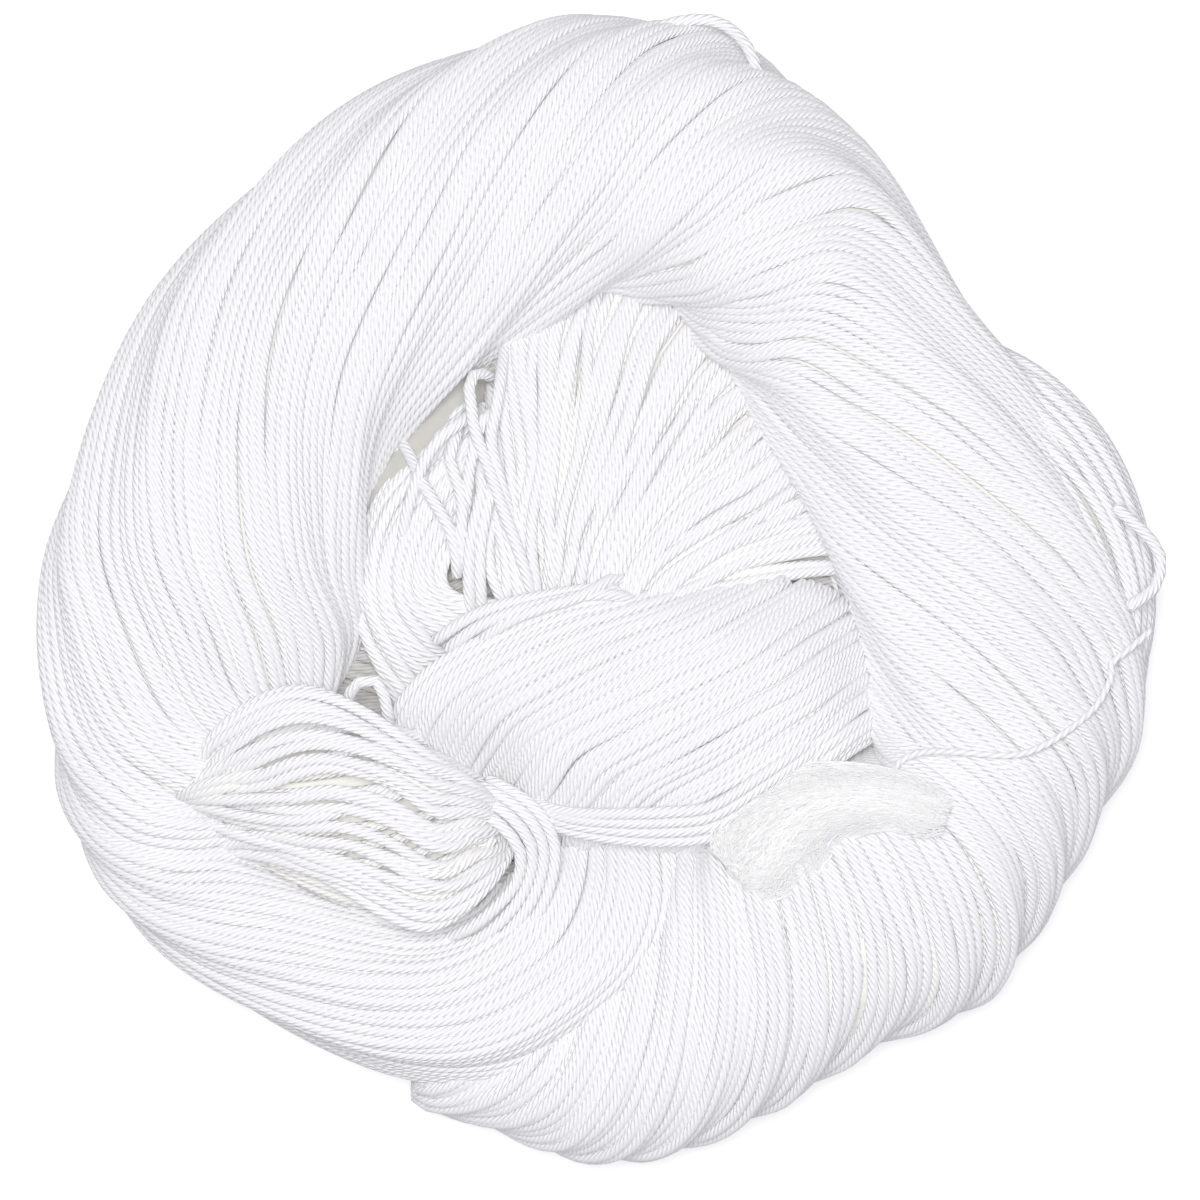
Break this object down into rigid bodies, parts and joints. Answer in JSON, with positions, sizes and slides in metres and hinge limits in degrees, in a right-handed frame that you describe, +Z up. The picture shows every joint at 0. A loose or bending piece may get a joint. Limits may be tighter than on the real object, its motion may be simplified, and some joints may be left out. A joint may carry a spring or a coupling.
{
  "type": "skein of cotton yarn",
  "caption": "Opened-out hank of white plied cotton yarn, loosely twisted and laid round in a nest, with a thin tie thread and a frayed cotton knot on top.",
  "frame": {"origin": "middle of the box's bottom, on the surface that the hank lies on", "axes": "+Z up from the surface; +X to the right and +Y away from the viewer of the nest seen from above, with the tie's free end towards +X"},
  "size_m": [0.1708, 0.1763, 0.0491],
  "materials": {
    "cotton_yarn": "soft sheen of mercerised cotton",
    "tie_thread": "matt",
    "unspun_cotton": "matt and fluffy"
  },
  "bodies": {
    "root": {"hank": "cotton_yarn", "tie_thread": "tie_thread", "frayed_knot": "unspun_cotton"}
  },
  "joints": []
}
